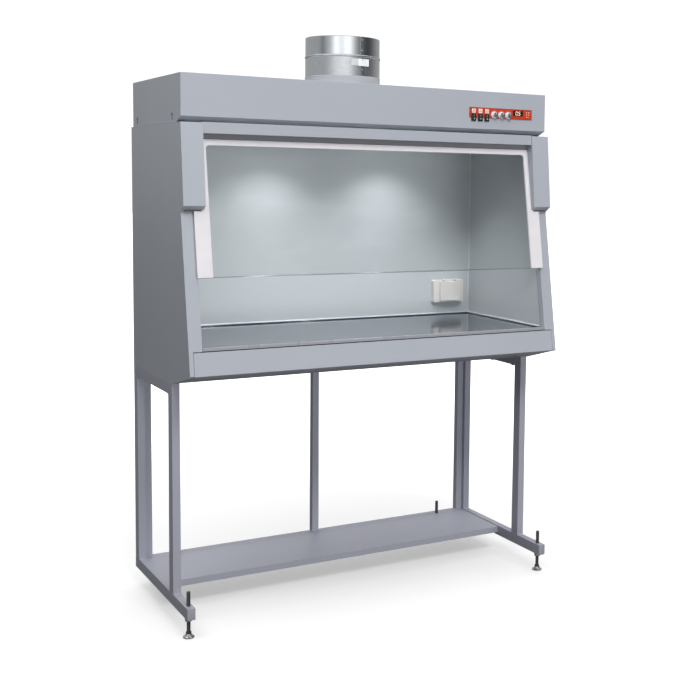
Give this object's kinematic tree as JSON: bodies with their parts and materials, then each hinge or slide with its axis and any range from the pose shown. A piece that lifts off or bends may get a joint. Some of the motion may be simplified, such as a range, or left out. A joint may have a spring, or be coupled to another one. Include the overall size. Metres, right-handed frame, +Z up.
{
  "type": "fume hood",
  "caption": "Ducted laboratory fume hood on an open tube stand, with a counterweighted sliding glass sash, a slanted front, switch panel, roof duct spigot and levelling feet.",
  "frame": {"origin": "middle of the bounding box footprint, on the floor under the feet", "axes": "+X to the right of someone facing the hood, +Y from its open front to its back, +Z up"},
  "size_m": [1.309, 0.616, 1.856],
  "materials": {
    "cabinet_paint": "satin grey powder coat",
    "stand_paint": "satin grey powder coat",
    "liner_paint": "smooth satin coat",
    "resin_top": "polished dark resin",
    "clear_glass": "clear toughened",
    "white_frame": "smooth white",
    "white_plastic": "fine moulded",
    "black_plastic": "fine moulded",
    "cream_plastic": "fine moulded",
    "seal_rubber": "matt",
    "spindle_steel": "turned, threaded",
    "weight_steel": "bare, dark",
    "galvanised": "galvanised sheet",
    "lamp_diffuser": "opal",
    "fascia_red": "printed film",
    "display_red": "dark filter"
  },
  "bodies": {
    "cabinet": {"left_runner": "stand_paint", "right_runner": "stand_paint", "left_front_leg": "stand_paint", "right_front_leg": "stand_paint", "left_rear_leg": "stand_paint", "right_rear_leg": "stand_paint", "left_top_rail": "stand_paint", "right_top_rail": "stand_paint", "rear_rails": "stand_paint", "rear_posts": "stand_paint", "shelf": "stand_paint", "runner_caps": "black_plastic", "foot_nuts": "spindle_steel", "left_side_panel": "cabinet_paint", "right_side_panel": "cabinet_paint", "rear_panel": "cabinet_paint", "floor_pan": "cabinet_paint", "apron": "cabinet_paint", "front_posts": "cabinet_paint", "head_rail": "cabinet_paint", "head_seal": "seal_rubber", "left_corner_cover": "cabinet_paint", "right_corner_cover": "cabinet_paint", "side_liners": "liner_paint", "back_liner": "liner_paint", "worktop": "resin_top", "fixed_pane": "clear_glass", "sash_guides": "black_plastic", "sash_cables": "spindle_steel", "ceiling_panel": "liner_paint", "lamp_housings": "liner_paint", "lamp_lenses": "lamp_diffuser", "exhaust_grille": "liner_paint", "header_shell": "cabinet_paint", "duct_collar": "white_plastic", "duct_spigot": "galvanised", "fan_casing": "galvanised", "fan_motor": "weight_steel", "fascia": "fascia_red", "rocker_bezels": "black_plastic", "display_window": "display_red", "socket_base": "cream_plastic"},
    "sash": {"sash_glass": "clear_glass", "sash_border": "white_frame"},
    "left_pulley": {"left_pulley": "white_plastic"},
    "right_pulley": {"right_pulley": "white_plastic"},
    "left_weight": {"left_counterweight": "weight_steel"},
    "right_weight": {"right_counterweight": "weight_steel"},
    "light_rocker": {"rocker_light": "black_plastic"},
    "fan_rocker": {"rocker_fan": "black_plastic"},
    "socket_rocker": {"rocker_socket": "black_plastic"},
    "left_knob": {"knob_left": "white_plastic"},
    "middle_knob": {"knob_middle": "white_plastic"},
    "right_knob": {"knob_right": "white_plastic"},
    "lid": {"socket_lid": "cream_plastic"},
    "impeller": {"fan_impeller": "galvanised"},
    "front_left_foot": {"foot_front_left": "spindle_steel"},
    "front_right_foot": {"foot_front_right": "spindle_steel"},
    "rear_left_foot": {"foot_rear_left": "spindle_steel"},
    "rear_right_foot": {"foot_rear_right": "spindle_steel"}
  },
  "joints": [
    {"name": "sash_slide", "type": "slide", "parent": "cabinet", "child": "sash", "axis": [0, 0.165, 0.9863], "range_m": [-0.212, 0]},
    {"name": "left_pulley_turn", "type": "hinge", "parent": "cabinet", "child": "left_pulley", "pos_m": [-0.629, -0.17535, 1.52094], "axis": [1, 0, 0], "range_deg": [-5, 690]},
    {"name": "left_weight_slide", "type": "slide", "parent": "cabinet", "child": "left_weight", "axis": [0, 0, 1], "range_m": [-0.002, 0.214]},
    {"name": "right_pulley_turn", "type": "hinge", "parent": "cabinet", "child": "right_pulley", "pos_m": [0.629, -0.17535, 1.52094], "axis": [1, 0, 0], "range_deg": [-5, 690]},
    {"name": "right_weight_slide", "type": "slide", "parent": "cabinet", "child": "right_weight", "axis": [0, 0, 1], "range_m": [-0.002, 0.214]},
    {"name": "light_rocker_tilt", "type": "hinge", "parent": "cabinet", "child": "light_rocker", "pos_m": [0.3535, -0.217, 1.6005], "axis": [1, 0, 0], "range_deg": [0, 16]},
    {"name": "fan_rocker_tilt", "type": "hinge", "parent": "cabinet", "child": "fan_rocker", "pos_m": [0.3795, -0.217, 1.6005], "axis": [1, 0, 0], "range_deg": [0, 16]},
    {"name": "socket_rocker_tilt", "type": "hinge", "parent": "cabinet", "child": "socket_rocker", "pos_m": [0.4055, -0.217, 1.6005], "axis": [1, 0, 0], "range_deg": [0, 16]},
    {"name": "left_knob_turn", "type": "hinge", "parent": "cabinet", "child": "left_knob", "pos_m": [0.4345, -0.22, 1.6115], "axis": [0, 1, 0], "range_deg": [-150, 150]},
    {"name": "middle_knob_turn", "type": "hinge", "parent": "cabinet", "child": "middle_knob", "pos_m": [0.4625, -0.22, 1.6115], "axis": [0, 1, 0], "range_deg": [-150, 150]},
    {"name": "right_knob_turn", "type": "hinge", "parent": "cabinet", "child": "right_knob", "pos_m": [0.4905, -0.22, 1.6115], "axis": [0, 1, 0], "range_deg": [-150, 150]},
    {"name": "socket_lid_hinge", "type": "hinge", "parent": "cabinet", "child": "lid", "pos_m": [0.51, 0.196, 1.015], "axis": [1, 0, 0], "range_deg": [-110, 0], "stiffness_Nm_per_rad": 0.02, "springref_deg": 20.05},
    {"name": "impeller_spin", "type": "hinge", "parent": "cabinet", "child": "impeller", "pos_m": [0, 0.062, 1.646], "axis": [0, 0, 1], "continuous": true},
    {"name": "front_left_foot_turn", "type": "hinge", "parent": "cabinet", "child": "front_left_foot", "pos_m": [-0.6375, -0.239, 0.06], "axis": [0, 0, 1], "continuous": true},
    {"name": "front_right_foot_turn", "type": "hinge", "parent": "cabinet", "child": "front_right_foot", "pos_m": [0.6375, -0.239, 0.06], "axis": [0, 0, 1], "continuous": true},
    {"name": "rear_left_foot_turn", "type": "hinge", "parent": "cabinet", "child": "rear_left_foot", "pos_m": [-0.51, 0.27, 0.06], "axis": [0, 0, 1], "continuous": true},
    {"name": "rear_right_foot_turn", "type": "hinge", "parent": "cabinet", "child": "rear_right_foot", "pos_m": [0.51, 0.27, 0.06], "axis": [0, 0, 1], "continuous": true}
  ],
  "couplings": [
    {"joint": "left_pulley_turn", "follows": "sash_slide", "rad_per_m": -55.556},
    {"joint": "left_weight_slide", "follows": "sash_slide", "ratio": -1},
    {"joint": "right_pulley_turn", "follows": "sash_slide", "rad_per_m": -55.556},
    {"joint": "right_weight_slide", "follows": "sash_slide", "ratio": -1}
  ]
}
